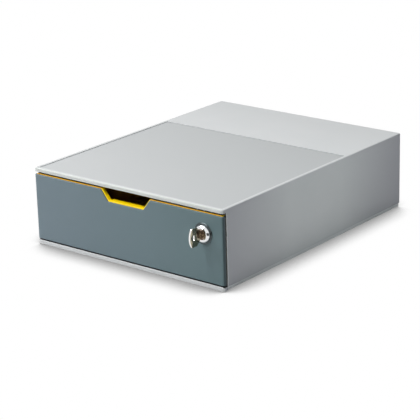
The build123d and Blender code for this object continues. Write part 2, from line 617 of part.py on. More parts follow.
def lock_wafer(y):
    """A thin plate with ends rounded to the core, and a window for the key's blade."""
    plate = Circle(PLUG_RADIUS - LOOSE) & Rectangle(WAFER_WIDTH, 4 * PLUG_RADIUS)
    window = Rectangle(KEY_THICKNESS + 2 * WINDOW_PLAY, BLADE_HEIGHT + 2 * WINDOW_PLAY)
    half = WAFER_THICKNESS / 2
    return backwards(Pos(LOCK_X, LOCK_Z) * (plate - window), y - half, y + half)


def lock_cam():
    """The lever on the core's tail. It lies across, and a quarter turn lifts its tip behind the keeper."""
    tip = CAM_TIP_WIDTH / 2
    arm = make_face(Polyline((0, CAM_ARM_HALF), (-CAM_REACH, tip), (-CAM_REACH, -tip), (0, -CAM_ARM_HALF),
                             close=True))
    arm = fillet(arm.vertices().group_by(Axis.X)[0], CAM_TIP_RADIUS)
    seat = TAIL_SQUARE + 2 * LOOSE
    outline = arm + Circle(CAM_HUB_RADIUS) - Rectangle(seat, seat)
    return backwards(Pos(LOCK_X, LOCK_Z) * outline, CAM_Y, CAM_Y + CAM_THICKNESS)


def cam_washer():
    """The plain washer between the cam and its screw."""
    start = CAM_Y + CAM_THICKNESS
    end = start + CAM_WASHER_THICKNESS
    hole = barrel(SCREW_SHANK_RADIUS + LOOSE, start - BEYOND, end + BEYOND)
    return barrel(CAM_WASHER_RADIUS, start, end) - hole


def cam_screw():
    """A short pan-head screw with a cross recess."""
    head_y = CAM_Y + CAM_THICKNESS + CAM_WASHER_THICKNESS
    head_end = head_y + SCREW_HEAD
    head = barrel(SCREW_HEAD_RADIUS, head_y, head_end)
    head = fillet(head.edges().filter_by(GeomType.CIRCLE).group_by(Axis.Y)[-1], SCREW_HEAD_EDGE)
    half_width = RECESS_WIDTH / 2
    half_length = RECESS_LENGTH / 2
    recess_y = head_y + SCREW_HEAD / 2
    for x, z in ((half_width, half_length), (half_length, half_width)):
        head -= LOCK_AXIS * block(-x, x, recess_y, head_end + BEYOND, -z, z)
    shank_y = CAM_Y + CAM_THICKNESS - SCREW_DEPTH + SCREW_END_GAP
    return head + barrel(SCREW_SHANK_RADIUS, shank_y, head_y + SCREW_HEAD / 4)


# ---------------------------------------------------------------- key
def key():
    """A flat key: a bow with a gently arched outer edge and a slot, a shoulder, and a blade with cuts."""
    shoulder_y = -(RING_THICKNESS + DOME_HEIGHT - PLUG_RECESS) - LOOSE
    outline = bow_outline(shoulder_y) + blade_outline(shoulder_y)
    return LOCK_AXIS * extrude(Plane.YZ * outline, KEY_THICKNESS / 2, both=True)


def bow_outline(shoulder_y):
    """The part of the key that the fingers hold, in Y and Z, down to its shoulder."""
    half = SHOULDER_HEIGHT / 2
    bow_half = BOW_HEIGHT / 2
    arch_y = -KEY_REACH + BOW_BULGE
    neck_y = BOW_ROOT_Y + bow_half - half
    arch = ThreePointArc((arch_y, -bow_half), (-KEY_REACH, 0), (arch_y, bow_half))
    back = Polyline((arch_y, bow_half), (BOW_ROOT_Y, bow_half), (neck_y, half), (shoulder_y, half),
                    (shoulder_y, -half), (neck_y, -half), (BOW_ROOT_Y, -bow_half), (arch_y, -bow_half))
    bow = make_face(arch + back)
    necks = [v for v in bow.vertices() if abs(v.X - BOW_ROOT_Y) < NEAR]
    bow = fillet(necks, BOW_NECK_RADIUS)
    corners = [v for v in bow.vertices() if abs(v.X - arch_y) < NEAR]
    bow = fillet(corners, BOW_CORNER_RADIUS)
    return bow - Pos(KEY_SLOT_Y, 0) * SlotOverall(KEY_SLOT_LENGTH, KEY_SLOT_WIDTH, rotation=90)


def blade_outline(shoulder_y):
    """The blade in Y and Z: a bevelled tip and a row of cuts in both edges, in opposite order."""
    half = BLADE_HEIGHT / 2
    root_y = shoulder_y - BEYOND
    upper = [(root_y, half), (BLADE_TIP_Y - TIP_BEVEL, half), (BLADE_TIP_Y, TIP_HEIGHT / 2)]
    lower = [(y, -z) for y, z in reversed(upper)]
    blade = make_face(Polyline(*upper, *lower, close=True))
    for side, cuts in ((1, KEY_CUTS), (-1, KEY_CUTS[::-1])):
        for y, depth in zip(wafer_places(), cuts):
            blade -= key_cut(y, side * half, side, depth)
    return blade


def key_cut(y, edge_z, side, depth):
    """One cut in a blade's edge: a flat as wide as a wafer is thick, and a 45 degree flank on each side."""
    flat = WAFER_THICKNESS / 2
    top = flat + depth + CUT_MARGIN
    outer_z = edge_z + side * CUT_MARGIN
    inner_z = edge_z - side * depth
    points = [(y - top, outer_z), (y - flat, inner_z), (y + flat, inner_z), (y + top, outer_z)]
    return make_face(Polyline(*points, close=True))


# ---------------------------------------------------------------- the whole object
def pieces():
    """Every piece by its node name, in the place that it has with the drawer shut and unlocked."""
    foot_names = ("foot_front_left", "foot_front_right", "foot_rear_left", "foot_rear_right")
    made = {"casing_shell": casing_shell(), "base_plate": base_plate()}
    made.update({name: rubber_foot(x, y) for name, (x, y) in zip(foot_names, foot_places())})
    made.update({"drawer_tray": drawer_tray(), "tray_front": tray_front(), "front_cover": front_cover()})
    made.update({"lock_trim_ring": lock_trim_ring(), "lock_housing": lock_housing(),
                 "lock_tooth_washer": lock_tooth_washer(), "lock_nut": lock_nut(), "lock_plug": lock_plug()})
    made.update({f"lock_wafer_{i + 1}": lock_wafer(y) for i, y in enumerate(wafer_places())})
    made.update({"lock_cam": lock_cam(), "cam_washer": cam_washer(), "cam_screw": cam_screw(), "key": key()})
    return made


os.makedirs("parts", exist_ok=True)
for name, piece in pieces().items():
    export_step(TO_ORIGIN * piece, f"parts/{name}.step")
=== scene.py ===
# %% [markdown]
# A lockable drawer box for A4 papers, dressed for a product picture.
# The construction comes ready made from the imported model: every rigid piece is already there, at its
# real size and in its own place. This lesson gives those pieces their surfaces, models the finer metal
# pieces of the lock by hand, and sets up the camera and the light.

import math

import bpy
from mathutils import Matrix, Vector

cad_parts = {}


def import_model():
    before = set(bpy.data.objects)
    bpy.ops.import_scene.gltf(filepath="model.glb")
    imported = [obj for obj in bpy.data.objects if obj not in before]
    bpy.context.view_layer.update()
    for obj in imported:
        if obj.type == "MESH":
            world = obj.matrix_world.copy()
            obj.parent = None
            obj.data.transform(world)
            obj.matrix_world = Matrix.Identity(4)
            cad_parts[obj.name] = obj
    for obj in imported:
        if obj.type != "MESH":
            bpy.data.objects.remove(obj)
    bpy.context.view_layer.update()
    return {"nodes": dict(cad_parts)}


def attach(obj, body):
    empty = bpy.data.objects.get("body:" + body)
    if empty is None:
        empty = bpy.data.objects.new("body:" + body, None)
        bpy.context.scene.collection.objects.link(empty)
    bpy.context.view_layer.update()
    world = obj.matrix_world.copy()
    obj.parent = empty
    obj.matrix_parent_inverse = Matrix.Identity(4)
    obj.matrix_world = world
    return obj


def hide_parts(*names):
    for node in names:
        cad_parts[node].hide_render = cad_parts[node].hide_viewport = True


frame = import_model()
NODES = frame["nodes"]
MM = 0.001
print("pieces in the frame:", len(NODES))

# %% [markdown]
# The camera. A product picture like this one is taken with a long lens from two metres away, so the
# box hardly narrows towards the back. The lens is given by its focal length in pixels of a square
# picture, and the camera is placed on a sphere round the middle of the box, then rolled a little and
# slid sideways, which is how a photographer frames a shot on a tripod.

# %% Camera
PICTURE_SIDE = 420
FOCAL_PIXELS = 1668
SENSOR_MM = 36.0
DISTANCE = 2.014
AZIMUTH, ELEVATION, ROLL = (math.radians(a) for a in (38.86, 18.77, -1.53))
SLIDE_RIGHT, SLIDE_UP = -15.5 * MM, -27.3 * MM
AIM = Vector((0, 12 * MM, 47.5 * MM))


def camera_axes(azimuth, elevation, roll):
    """The camera's right, up and back directions."""
    flat = Vector((math.sin(azimuth), -math.cos(azimuth), 0))
    back = flat * math.cos(elevation) + Vector((0, 0, math.sin(elevation)))
    right = Vector((0, 0, 1)).cross(back).normalized()
    up = back.cross(right)
    turned_right = right * math.cos(roll) + up * math.sin(roll)
    turned_up = up * math.cos(roll) - right * math.sin(roll)
    return turned_right, turned_up, back


def place_camera():
    """The camera on its sphere, slid sideways and up."""
    right, up, back = camera_axes(AZIMUTH, ELEVATION, ROLL)
    data = bpy.data.cameras.new("camera")
    data.sensor_width = SENSOR_MM
    data.lens = SENSOR_MM * FOCAL_PIXELS / PICTURE_SIDE
    camera = bpy.data.objects.new("camera", data)
    bpy.context.collection.objects.link(camera)
    spot = AIM + back * DISTANCE + right * SLIDE_RIGHT + up * SLIDE_UP
    turn = Matrix((right, up, back)).transposed().to_4x4()
    camera.matrix_world = Matrix.Translation(spot) @ turn
    bpy.context.scene.camera = camera
    print("lens", round(data.lens, 1), "mm at", [round(c, 3) for c in spot])


place_camera()

# %% [markdown]
# Node materials are put together from a few small blocks: a noise, a bump, a mix of two colours. Each
# block is one helper here, so that the recipes further down read like a list of what the surface has.

# %% Material helpers
EDGE_MM = 0.05             # how soft the border of a zone is
FAR = 400.0                # a limit that lies outside every piece


class Recipe:
    """One material and the few blocks that every finish in this lesson is made from."""

    def __init__(self, name):
        self.material = bpy.data.materials.new(name)
        self.material.use_nodes = True
        self.nodes = self.material.node_tree.nodes
        self.links = self.material.node_tree.links
        self.shader = self.nodes["Principled BSDF"]
        self.place = self.add("ShaderNodeTexCoord").outputs["Object"]

    def add(self, kind, **settings):
        node = self.nodes.new(kind)
        for name, value in settings.items():
            setattr(node, name, value)
        return node

    def feed(self, socket, value):
        """Links an output to a socket, or writes a plain value on it."""
        if isinstance(value, bpy.types.NodeSocket):
            self.links.new(value, socket)
        else:
            socket.default_value = value

    def surface(self, **sockets):
        for name, value in sockets.items():
            self.feed(self.shader.inputs[name.replace("_", " ")], value)

    def noise(self, size_mm, detail=2.0, stretch=(1, 1, 1)):
        """A cloudy pattern, from 0 to 1, whose lumps are about size_mm wide."""
        mapping = self.add("ShaderNodeMapping")
        mapping.inputs["Scale"].default_value = stretch
        self.feed(mapping.inputs["Vector"], self.place)
        noise = self.add("ShaderNodeTexNoise")
        self.feed(noise.inputs["Vector"], mapping.outputs["Vector"])
        noise.inputs["Scale"].default_value = 1 / (size_mm * MM)
        noise.inputs["Detail"].default_value = detail
        return noise.outputs["Fac"]

    def span(self, value, low, high, start=0.3, stop=0.7):
        """Turns a value between start and stop into one between low and high."""
        node = self.add("ShaderNodeMapRange")
        self.feed(node.inputs["Value"], value)
        for name, number in (("From Min", start), ("From Max", stop), ("To Min", low), ("To Max", high)):
            self.feed(node.inputs[name], number)
        return node.outputs["Result"]

    def ramp(self, axis, start_mm, stop_mm, low=0.0, high=1.0):
        """Goes from low to high as the piece's own X, Y or Z goes from start to stop."""
        split = self.add("ShaderNodeSeparateXYZ")
        self.feed(split.inputs[0], self.place)
        return self.span(split.outputs[axis], low, high, start_mm * MM, stop_mm * MM)

    def math(self, operation, first, second):
        node = self.add("ShaderNodeMath", operation=operation)
        self.feed(node.inputs[0], first)
        self.feed(node.inputs[1], second)
        return node.outputs[0]

    def both_sides(self, start_mm, stop_mm):
        """Goes from 0 to 1 between two distances from the middle, to the left and to the right."""
        return self.math("ADD", self.ramp("X", start_mm, stop_mm), self.ramp("X", -start_mm, -stop_mm))

    def inside(self, **limits):
        """1 inside a box of the piece's own space, else 0. Each axis has a low and a high limit in mm."""
        total = 1.0
        for axis, (low, high) in limits.items():
            for value in (self.ramp(axis, low - EDGE_MM, low + EDGE_MM),
                          self.ramp(axis, high - EDGE_MM, high + EDGE_MM, 1.0, 0.0)):
                total = self.math("MULTIPLY", value, total)
        return total

    def blend(self, amount, first, second):
        """A colour between two others."""
        node = self.add("ShaderNodeMix", data_type="RGBA")
        self.feed(node.inputs["Factor"], amount)
        self.feed(node.inputs["A"], first)
        self.feed(node.inputs["B"], second)
        return node.outputs["Result"]

    def bump(self, height, depth_mm):
        """Relief that is depth_mm deep."""
        node = self.add("ShaderNodeBump")
        node.inputs["Distance"].default_value = depth_mm * MM
        self.feed(node.inputs["Height"], height)
        return node.outputs["Normal"]


def srgb(red, green, blue):
    """A colour as a paint program writes it, 0 to 255, turned into the light values of a shader."""
    def light(level):
        level /= 255
        return level / 12.92 if level <= 0.04045 else ((level + 0.055) / 1.055) ** 2.4
    return (light(red), light(green), light(blue), 1)


def give(material, *names):
    """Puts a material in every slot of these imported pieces."""
    for name in names:
        slots = NODES[name].material_slots
        for slot in slots:
            slot.material = material
        if not slots:
            NODES[name].data.materials.append(material)
    print(material.name, "on", len(names), "pieces")


# %% [markdown]
# The casing is injection moulded from light grey polystyrene in a tool whose walls are spark eroded,
# which leaves a fine matt grain. The grain is far smaller than a pixel from where the camera stands,
# so it is a very shallow bump that only counts close up, and a wide faint clouding keeps the broad top
# from looking like card. Light and shade are also painted on by position. Painted shade makes the sunk
# field, the back of the top and the ends of the side walls deeper. Painted highlights make the front lip
# and the walls' front edges lighter. Painted shade makes the gaps nearly black. The base plate is the
# same grey painted lighter, as painted light on its front band. Real light would make some of this,
# but painting it is simple, and it stays when the lamps are moved.

# %% Casing plastic
FIELD_HALF, FIELD_FRONT, FIELD_STEP = 135.6, -161.6, 73.0
FLANK_X = (139.4, 139.9)                   # the outer side walls start between these
LIP_FRONT = dict(X=(-FAR, FAR), Y=(-170, -164.6), Z=(90, 95.2))


def casing_plastic(name, painted_lift, gaps):
    """Light grey, with painted light and shade by position: lighter by some levels, nearly black in the gaps,
    which are boxes in mm.
    """
    recipe = Recipe(name)
    cloud = recipe.span(recipe.noise(60, detail=3), 0, 1)
    colour = recipe.blend(cloud, srgb(203 + painted_lift, 206 + painted_lift, 207 + painted_lift),
                          srgb(208 + painted_lift, 210 + painted_lift, 211 + painted_lift))
    # Painted highlight: the front lip's face is painted lighter.
    colour = recipe.blend(recipe.inside(**LIP_FRONT), colour, srgb(222, 226, 223))
    # Painted shade: the sunk field is painted darker, more towards the step and to the right.
    field = recipe.inside(X=(-FIELD_HALF, FIELD_HALF), Y=(FIELD_FRONT, FIELD_STEP), Z=(93.0, 94.6))
    field_shade = recipe.math("ADD", recipe.ramp("Y", -150, FIELD_STEP, 0.33, 0.55),
                       recipe.ramp("X", -FIELD_HALF, FIELD_HALF, 0.0, 0.17))
    colour = recipe.blend(recipe.math("MULTIPLY", field, field_shade), colour, srgb(157, 161, 162))
    # Painted shade: the back of the top is painted darker.
    rear = recipe.math("MULTIPLY", recipe.ramp("Y", 90, 190, 0.0, 0.17), recipe.ramp("Z", 94.3, 94.8))
    colour = recipe.blend(rear, colour, srgb(160, 165, 165))
    # Painted shade: the side walls are painted darker towards both ends.
    ends = recipe.math("ADD", recipe.ramp("Y", -150, -40, 0.8, 0.0), recipe.ramp("Y", 60, 190))
    flank = recipe.both_sides(*FLANK_X)
    colour = recipe.blend(recipe.math("MULTIPLY", ends, flank), colour, srgb(172, 173, 180))
    # Painted shade: the gaps are painted nearly black.
    for gap in gaps:
        colour = recipe.blend(recipe.inside(**gap), colour, srgb(22, 28, 30))
    # Painted highlight: the side walls' front edges are painted lighter.
    edge = recipe.math("MULTIPLY", flank, recipe.inside(Y=(-160.3, -158.8), Z=(6.5, 90.4)))
    colour = recipe.blend(edge, colour, srgb(238, 242, 242))
    grain = recipe.bump(recipe.noise(0.35, detail=2), 0.02)
    recipe.surface(Base_Color=colour, Roughness=recipe.span(cloud, 0.42, 0.5, 0, 1), Normal=grain)
    recipe.shader.inputs["Specular IOR Level"].default_value = 0.45
    return recipe.material


# Boxes of painted shade: the narrow gaps at the walls' front ends, and the base's nose under the cover.
WALL_ENDS = [dict(X=(low, high), Y=(-160.0, -158.7), Z=(5, 89.9))
             for low, high in ((-139.2, -137), (137, 139.2))]
NOSE_TOP = dict(X=(-FAR, FAR), Y=(-165.5, -158.0), Z=(5.4, 6.2))

give(casing_plastic("casing_grey", 0, WALL_ENDS), "casing_shell")
# The base plate is the casing's grey painted 18 levels lighter, as painted light on its front band.
give(casing_plastic("base_grey", 18, [NOSE_TOP]), "base_plate")

# %% [markdown]
# The tray is yellow polystyrene. Light that enters the broad faces of such a bright plastic comes out
# again at its edges, which is why a thin yellow rim looks lit even in the shade of a lip. True scatter
# inside the plastic is slow to render, so the rim is given a faint light of its own instead.

# %% Tray plastic
GLOW = 0.36
LEDGE_SHARE = 0.6                          # the ledge's glow beside the rim's
# Painted shade: the low rim under the cover is painted dark.
LOW_RIM = dict(X=(-FAR, FAR), Y=(-170, -159), Z=(0, 9.0))
# Painted shade: the top line is painted orange where the lip shades it, and its glow is orange too.
TOP_LINE = dict(X=(-FAR, FAR), Y=(-170, -163.7), Z=(86.6, 89))
# Painted shade: the strip under the lip is painted brown.
UNDER_LIP = dict(X=(-FAR, FAR), Y=(-163.7, -150), Z=(87.9, 89))
RIM_FRONT = dict(X=(-FAR, FAR), Y=(-170, -163.3), Z=(9.0, 87.9))
LEDGE = dict(X=(-40, 40), Y=(-170, -157.0), Z=(74.0, 80))
GLOW_START = (60, 62)                      # only above this height, so round the notch and on top


def tray_plastic():
    """Bright yellow, with painted shade in three strips. The rim and ledge glow faintly, in place of light
    inside the plastic.
    """
    recipe = Recipe("tray_yellow")
    cloud = recipe.span(recipe.noise(40, detail=2), 0, 1)
    yellow = recipe.blend(cloud, srgb(255, 212, 0), srgb(255, 220, 8))
    # Painted shade on the low rim.
    colour = recipe.blend(recipe.inside(**LOW_RIM), yellow, srgb(70, 62, 40))
    # Painted shade on the top line, orange.
    top_line = recipe.inside(**TOP_LINE)
    colour = recipe.blend(top_line, colour, srgb(255, 186, 20))
    # Painted shade under the lip.
    colour = recipe.blend(recipe.inside(**UNDER_LIP), colour, srgb(120, 60, 8))
    ledge = recipe.math("MULTIPLY", recipe.inside(**LEDGE), LEDGE_SHARE)
    lit = recipe.math("MAXIMUM", recipe.inside(**RIM_FRONT), ledge)
    glow = recipe.math("MULTIPLY", lit, recipe.ramp("Z", *GLOW_START))
    grain = recipe.bump(recipe.noise(0.5, detail=2), 0.01)
    recipe.surface(Base_Color=colour, Roughness=recipe.span(cloud, 0.32, 0.4, 0, 1), Normal=grain,
                   Emission_Color=recipe.blend(top_line, srgb(255, 222, 0), srgb(255, 190, 40)),
                   Emission_Strength=recipe.math("MULTIPLY", glow, GLOW))
    return recipe.material


give(tray_plastic(), "drawer_tray", "tray_front")

# %% [markdown]
# The cover is a separate slate grey plate, moulded with the same spark grain as the casing. Its colour
# is painted to fade a little from left to right, as painted shade the way a wall fades beside a lamp. Its
# side returns stand in a narrow gap and are painted darker towards the back of it, and so is the low edge
# over the base, both as painted shade.

# %% Cover plastic
RETURN_X = (138.4, 139.4)                  # the side returns start between these
DEEP_Y = (-163.0, -162.4)                  # from here back a return lies in the gap's dark
COVER_LOW_EDGE = dict(X=(-FAR, FAR), Y=(-170, -150), Z=(6.0, 7.9))


def cover_plastic():
    """Blue-grey, fading to the right, with painted shade on the side returns and the lower edge."""
    recipe = Recipe("cover_slate")
    cloud = recipe.span(recipe.noise(50, detail=3), 0, 1)
    # Painted shade: darker towards the right.
    colour = recipe.blend(recipe.ramp("X", -138, 138), srgb(122, 138, 148), srgb(103, 127, 131))
    colour = recipe.blend(recipe.math("MULTIPLY", cloud, 0.3), colour, srgb(118, 136, 143))
    # Painted shade: the side returns darker, nearly black towards the back.
    side = recipe.both_sides(*RETURN_X)
    colour = recipe.blend(side, colour, srgb(56, 75, 80))
    deep = recipe.math("MULTIPLY", side, recipe.ramp("Y", *DEEP_Y))
    colour = recipe.blend(deep, colour, srgb(16, 24, 27))
    # Painted shade: the low edge over the base.
    colour = recipe.blend(recipe.inside(**COVER_LOW_EDGE), colour, srgb(50, 62, 66))
    grain = recipe.bump(recipe.noise(0.35, detail=2), 0.02)
    recipe.surface(Base_Color=colour, Roughness=recipe.span(cloud, 0.45, 0.52, 0, 1), Normal=grain)
    recipe.shader.inputs["Specular IOR Level"].default_value = 0.4
    return recipe.material


give(cover_plastic(), "front_cover")

# %% [markdown]
# Four metals. Polished chrome shows its surroundings almost like a mirror, zinc plate is cloudy, brass
# stamped from sheet keeps the lines of the rolling mill, and the nickel plug is painted dark brown in
# patches, a painted reflection of the key and the keyhole. All are one recipe: a metal, a cloud that
# moves its roughness, fine lines along one axis, and their relief.

# %% Metals
def metal(name, bright, dull, low, high, lines=(1, 1, 1), relief=0.0):
    """A metal whose colour and roughness drift together. Lines run along the axis of the low stretch."""
    recipe = Recipe(name)
    cloud = recipe.noise(1.5, detail=3)
    scratch = recipe.noise(0.25, detail=2, stretch=lines)
    colour = recipe.blend(recipe.span(cloud, 0, 1), bright, dull)
    recipe.surface(Base_Color=colour, Metallic=1.0, Roughness=recipe.span(cloud, low, high),
                   Normal=recipe.bump(scratch, relief))
    return recipe.material


give(metal("lock_chrome", srgb(236, 236, 236), srgb(222, 223, 224), 0.06, 0.12, relief=0.0006),
     "lock_housing")
give(metal("zinc_steel", srgb(206, 208, 212), srgb(186, 190, 198), 0.3, 0.42, relief=0.004),
     "lock_tooth_washer", "lock_nut", "lock_cam", "cam_washer", "cam_screw")
# The plug's dark brown patches are a painted reflection of the key and the keyhole.
give(metal("plug_nickel", srgb(52, 32, 26), srgb(196, 176, 160), 0.08, 0.3, relief=0.01), "lock_plug")
give(metal("wafer_brass", srgb(212, 182, 116), srgb(190, 158, 92), 0.3, 0.4, lines=(1, 1, 0.05),
           relief=0.003), *(f"lock_wafer_{n}" for n in range(1, 6)))

# %% [markdown]
# The feet are soft black rubber. Rubber is never quite black and never smooth: its skin is a little
# lighter where it has been rubbed, and the mould leaves a coarse matt grain on it.

# %% Rubber
def rubber():
    """Near black, a little lighter where it is rubbed."""
    recipe = Recipe("foot_rubber")
    rubbed = recipe.span(recipe.noise(3, detail=4), 0, 1)
    grain = recipe.bump(recipe.noise(0.2, detail=3), 0.03)
    recipe.surface(Base_Color=recipe.blend(rubbed, srgb(38, 38, 40), srgb(54, 54, 56)),
                   Roughness=recipe.span(rubbed, 0.74, 0.86, 0, 1), Normal=grain)
    return recipe.material


give(rubber(), "foot_front_left", "foot_front_right", "foot_rear_left", "foot_rear_right")

# %% [markdown]
# The trim ring under the lock's dome is a turned part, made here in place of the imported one. A lathe
# gives a shape one profile all the way round, and here a circle does the same: it is drawn out step by
# step, each step a new radius and depth.

# %% Trim ring
LOCK_X, FRONT_Y, LOCK_Z = 112.5, -166.0, 63.5
RING_SIDES = 96
CRISP = math.radians(35)                   # edges sharper than this stay crisp


def at(x, y, z):
    """A place in mm, from the lock's axis and the front plane, as metres in the row's space."""
    return Vector((LOCK_X + x, FRONT_Y + y, LOCK_Z + z)) * MM


def finished(piece, name, material):
    """Faces outward, smooth faces with crisp edges, one material, and a name."""
    piece.name = name
    bpy.ops.object.select_all(action="DESELECT")
    piece.select_set(True)
    bpy.context.view_layer.objects.active = piece
    bpy.ops.object.mode_set(mode="EDIT")
    bpy.ops.mesh.select_all(action="SELECT")
    bpy.ops.mesh.normals_make_consistent(inside=False)
    bpy.ops.object.mode_set(mode="OBJECT")
    bpy.ops.object.shade_smooth_by_angle(angle=CRISP)
    piece.data.materials.clear()
    piece.data.materials.append(material)
    print(name, "has", len(piece.data.polygons), "faces")
    return piece


def turned(profile):
    """A closed ring about the lock's axis, from (radius, depth) steps in mm that end where they begin."""
    bpy.ops.object.select_all(action="DESELECT")
    radius, depth = profile[0]
    bpy.ops.mesh.primitive_circle_add(vertices=RING_SIDES, radius=radius * MM, location=at(0, depth, 0),
                                      rotation=(math.radians(90), 0, 0))
    ring = bpy.context.object
    bpy.ops.object.transform_apply(location=True, rotation=True, scale=True)
    bpy.ops.object.mode_set(mode="EDIT")
    bpy.ops.mesh.select_all(action="SELECT")
    for (radius, depth), (next_radius, next_depth) in zip(profile, profile[1:]):
        bpy.ops.mesh.extrude_region_move(
            TRANSFORM_OT_translate={"value": (0, (next_depth - depth) * MM, 0)})
        share = next_radius / radius
        bpy.ops.transform.resize(value=(share, share, share), center_override=at(0, next_depth, 0))
    bpy.ops.mesh.select_all(action="SELECT")
    bpy.ops.mesh.remove_doubles(threshold=0.005 * MM)
    bpy.ops.object.mode_set(mode="OBJECT")
    return ring


RING = [(8.2, -0.05), (12.2, -0.05), (12.45, -0.3), (12.45, -0.55), (12.2, -0.9), (11.8, -1.12),
        (11.3, -1.18), (10.7, -1.12), (10.4, -0.95), (8.2, -0.95), (8.2, -0.05)]

# The ring is chrome, painted a dark blue-grey as a painted reflection of the dark surroundings.
ring = finished(turned(RING), "trim_ring", metal("ring_dark", srgb(88, 96, 98), srgb(74, 82, 84),
                                                        0.18, 0.26, relief=0.001))
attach(ring, "drawer")
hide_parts("lock_trim_ring")

# %% [markdown]
# The key is stamped from two millimetre sheet. It is put together as a toolmaker cuts it: from boxes, cut
# by planes, and joined or taken away. Each step is an operator or an applied modifier, so the helpers for
# a box, a cut, a modifier, a join and a rounded edge come first.

# %% Cutting helpers
KEY_HALF = 1.0


def slab(low, high):
    """A box between two corners given as for at()."""
    bpy.ops.object.select_all(action="DESELECT")
    bpy.ops.mesh.primitive_cube_add(size=1, location=(at(*low) + at(*high)) / 2)
    box = bpy.context.object
    box.scale = at(*high) - at(*low)
    bpy.ops.object.transform_apply(location=True, rotation=True, scale=True)
    return box


def trim(piece, cuts):
    """Cuts a piece by planes, each a point and a direction, and keeps what lies behind them."""
    bpy.context.view_layer.objects.active = piece
    bpy.ops.object.mode_set(mode="EDIT")
    for point, direction in cuts:
        bpy.ops.mesh.select_all(action="SELECT")
        bpy.ops.mesh.bisect(plane_co=at(*point), plane_no=direction, use_fill=True, clear_outer=True)
    bpy.ops.object.mode_set(mode="OBJECT")


def use(piece, kind, **settings):
    """Adds a modifier to a piece and applies it."""
    modifier = piece.modifiers.new(kind.lower(), kind)
    for name, value in settings.items():
        setattr(modifier, name, value)
    bpy.ops.object.select_all(action="DESELECT")
    piece.select_set(True)
    bpy.context.view_layer.objects.active = piece
    bpy.ops.object.modifier_apply(modifier=modifier.name)


def join(piece, other, how):
    """Adds another piece to this one or takes it away, and clears it up."""
    use(piece, "BOOLEAN", object=other, operation=how, solver="EXACT")
    bpy.data.objects.remove(other)


def round_edges(piece, height, radius):
    """Rounds the edges that run along X at this height above or below the lock's axis."""
    wanted = []
    for edge in piece.data.edges:
        first, second = (piece.data.vertices[i].co for i in edge.vertices)
        along = abs(first.x - second.x) > KEY_HALF * MM
        wanted.append(along and abs(abs(first.z - LOCK_Z * MM) - height * MM) < 0.01 * MM)
    bpy.context.view_layer.objects.active = piece
    bpy.ops.object.mode_set(mode="EDIT")
    bpy.ops.mesh.select_mode(type="EDGE")
    bpy.ops.mesh.select_all(action="DESELECT")
    bpy.ops.object.mode_set(mode="OBJECT")
    for edge, chosen in zip(piece.data.edges, wanted):
        edge.select = chosen
    bpy.ops.object.mode_set(mode="EDIT")
    bpy.ops.mesh.bevel(offset=radius * MM, segments=5, affect="EDGES")
    bpy.ops.mesh.select_mode(type="VERT")
    bpy.ops.object.mode_set(mode="OBJECT")


# %% [markdown]
# The bow has a gently arched outer edge. It is cut out of a large disc, whose rim gives the arch, and the
# corners are rounded. The slot for a key ring is a rounded box that is taken away.

# %% Key bow
ARCH_RADIUS, ARCH_Y, BOW_HALF, BOW_ROOT_Y = 18.54, -23.98, 10.7, -12.4
SHOULDER_Y, SHOULDER_HALF = -4.1, 4.7
DISC_SIDES = 180
RING_SLOT = ((-2, -19.3, -3), (2, -16.3, 3))
DIAGONAL = math.sqrt(0.5)


def key_bow():
    """The part that the fingers hold, with the slot for a ring."""
    bpy.ops.object.select_all(action="DESELECT")
    bpy.ops.mesh.primitive_cylinder_add(vertices=DISC_SIDES, radius=ARCH_RADIUS * MM,
                                        depth=2 * KEY_HALF * MM, location=at(0, ARCH_Y + ARCH_RADIUS, 0),
                                        rotation=(0, math.radians(90), 0))
    bow = bpy.context.object
    bpy.ops.object.transform_apply(location=True, rotation=True, scale=True)
    high, low = (0, BOW_ROOT_Y, BOW_HALF), (0, BOW_ROOT_Y, -BOW_HALF)
    trim(bow, [(high, (0, 0, 1)), (low, (0, 0, -1)),
               (high, (0, DIAGONAL, DIAGONAL)), (low, (0, DIAGONAL, -DIAGONAL)),
               ((0, SHOULDER_Y - 2.0, 0), (0, 1, 0))])
    round_edges(bow, BOW_HALF, 1.1)
    slot = slab(*RING_SLOT)
    round_edges(slot, 3.0, 1.4)
    join(bow, slot, "DIFFERENCE")
    return bow


# %% [markdown]
# The blade's cuts bring the wafers of the lock to one height. Both edges are cut, the lower one with the
# same depths in the opposite order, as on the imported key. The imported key's cuts have sloping flanks; these
# are left square, which can't be told apart from where the camera stands. The tip is bevelled, so that it
# finds the keyway.

# %% Key blade
BLADE_HALF, TIP_Y, TIP_HALF = 3.5, 15.2, 1.05
CUTS = ((1.6, 0.9), (4.2, 0.4), (6.8, 1.1), (9.4, 0.6), (12.0, 0.9))    # place and depth
CUT_HALF = 0.55
TIP_SLOPE = (0.659, 0.752)


def key_blade():
    """The blade with a bevelled tip and its row of cuts in both edges, in opposite order."""
    blade = slab((-KEY_HALF, SHOULDER_Y - 1.5, -BLADE_HALF), (KEY_HALF, TIP_Y, BLADE_HALF))
    along, up = TIP_SLOPE
    trim(blade, [((0, TIP_Y, TIP_HALF), (0, along, up)), ((0, TIP_Y, -TIP_HALF), (0, along, -up))])
    for side, depths in ((1, CUTS), (-1, [(y, d) for (y, _), (_, d) in zip(CUTS, CUTS[::-1])])):
        for y, depth in depths:
            inner, outer = sorted((side * (BLADE_HALF - depth), side * (BLADE_HALF + 1)))
            join(blade, slab((-2, y - CUT_HALF, inner), (2, y + CUT_HALF, outer)), "DIFFERENCE")
    return blade


# %% [markdown]
# Bow, shoulder and blade become one piece. Stamped keys are tumbled, which makes the edges a little round,
# and that thin rounding draws the light line round the bow. The edges are also painted near white as a
# painted highlight, and the broad faces a darker olive as a painted reflection.

